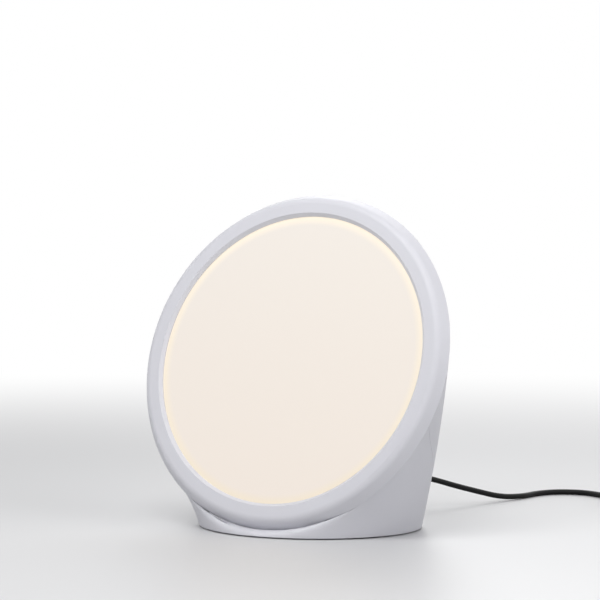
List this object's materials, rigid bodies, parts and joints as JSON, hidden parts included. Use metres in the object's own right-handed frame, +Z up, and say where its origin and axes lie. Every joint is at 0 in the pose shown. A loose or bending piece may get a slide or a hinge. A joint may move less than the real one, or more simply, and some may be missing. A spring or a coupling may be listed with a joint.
{
  "type": "light therapy lamp",
  "caption": "Round edge-lit light panel that leans back on a bucket-shaped weighted base, with push buttons and timer lights on its back and a black low-voltage cord.",
  "frame": {"origin": "on the table, at the centre of the lamp's footprint", "axes": "+Z up, the lit disc faces -Y and leans back towards +Y, +X is to the lamp's own left as it faces -Y, which is the viewer's right"},
  "size_m": [0.371, 0.3777, 0.2413],
  "materials": {
    "satin_white_shell": "satin moulded plastic",
    "warm_diffuser": "translucent opal sheet, lit warm white",
    "clear_guide": "clear acrylic",
    "white_film": "white reflecting film",
    "grey_foam": "soft foam",
    "steel_plate": "zinc-coated sheet",
    "steel_screw": "zinc-coated",
    "brass_spacer": "turned",
    "white_strip": "flexible circuit",
    "led_cell": "phosphor gel",
    "dark_rubber": "matte",
    "grey_panel": "fine-grained",
    "white_key": "satin",
    "window_plastic": "clear frosted",
    "green_board": "solder mask",
    "black_part": "moulded",
    "bright_metal": "bright nickel",
    "white_connector": "nylon",
    "wire_sleeve": "insulation",
    "black_cord": "soft vinyl",
    "black_case": "fine spark-eroded grain"
  },
  "bodies": {
    "lamp": {"front_bezel": "satin_white_shell", "base_shell": "satin_white_shell", "rear_housing": "satin_white_shell", "base_cover": "satin_white_shell", "diffuser_panel": "warm_diffuser", "light_guide": "clear_guide", "reflector_sheet": "white_film", "foam_pad": "grey_foam", "back_plate": "steel_plate", "ballast_plate": "steel_plate", "bezel_screws": "steel_screw", "panel_screws": "steel_screw", "cover_screws": "steel_screw", "board_screws": "steel_screw", "ballast_screws": "steel_screw", "key_board_screws": "steel_screw", "panel_standoffs": "brass_spacer", "led_strip": "white_strip", "leds": "led_cell", "rubber_feet": "dark_rubber", "control_panel": "grey_panel", "timer_windows": "window_plastic", "timer_leds": "window_plastic", "driver_board": "green_board", "key_board": "green_board", "inductor": "black_part", "driver_chips": "black_part", "key_switches": "black_part", "power_socket": "black_part", "capacitors": "bright_metal", "socket_nut": "bright_metal", "plug_barrel": "bright_metal", "adapter_blades": "bright_metal", "board_connectors": "white_connector", "lamp_wires": "wire_sleeve", "key_wires": "wire_sleeve", "socket_wires": "wire_sleeve", "power_cord": "black_cord", "cord_coil": "black_cord", "cord_plug": "black_cord", "plug_relief": "black_cord", "adapter_relief": "black_cord", "coil_tie": "black_cord", "adapter_case": "black_case"},
    "power_button_key": {"power_button": "white_key"},
    "colour_button_key": {"colour_button": "white_key"},
    "brighter_button_key": {"brighter_button": "white_key"},
    "dimmer_button_key": {"dimmer_button": "white_key"},
    "timer_button_key": {"timer_button": "white_key"}
  },
  "joints": [
    {"name": "power_press", "type": "slide", "parent": "lamp", "child": "power_button_key", "axis": [0, -0.957, -0.2902], "range_m": [0, 0.0008], "stiffness_N_per_m": 600},
    {"name": "colour_press", "type": "slide", "parent": "lamp", "child": "colour_button_key", "axis": [0, -0.957, -0.2902], "range_m": [0, 0.0008], "stiffness_N_per_m": 600},
    {"name": "brighter_press", "type": "slide", "parent": "lamp", "child": "brighter_button_key", "axis": [0, -0.957, -0.2902], "range_m": [0, 0.0008], "stiffness_N_per_m": 600},
    {"name": "dimmer_press", "type": "slide", "parent": "lamp", "child": "dimmer_button_key", "axis": [0, -0.957, -0.2902], "range_m": [0, 0.0008], "stiffness_N_per_m": 600},
    {"name": "timer_press", "type": "slide", "parent": "lamp", "child": "timer_button_key", "axis": [0, -0.957, -0.2902], "range_m": [0, 0.0008], "stiffness_N_per_m": 600}
  ]
}
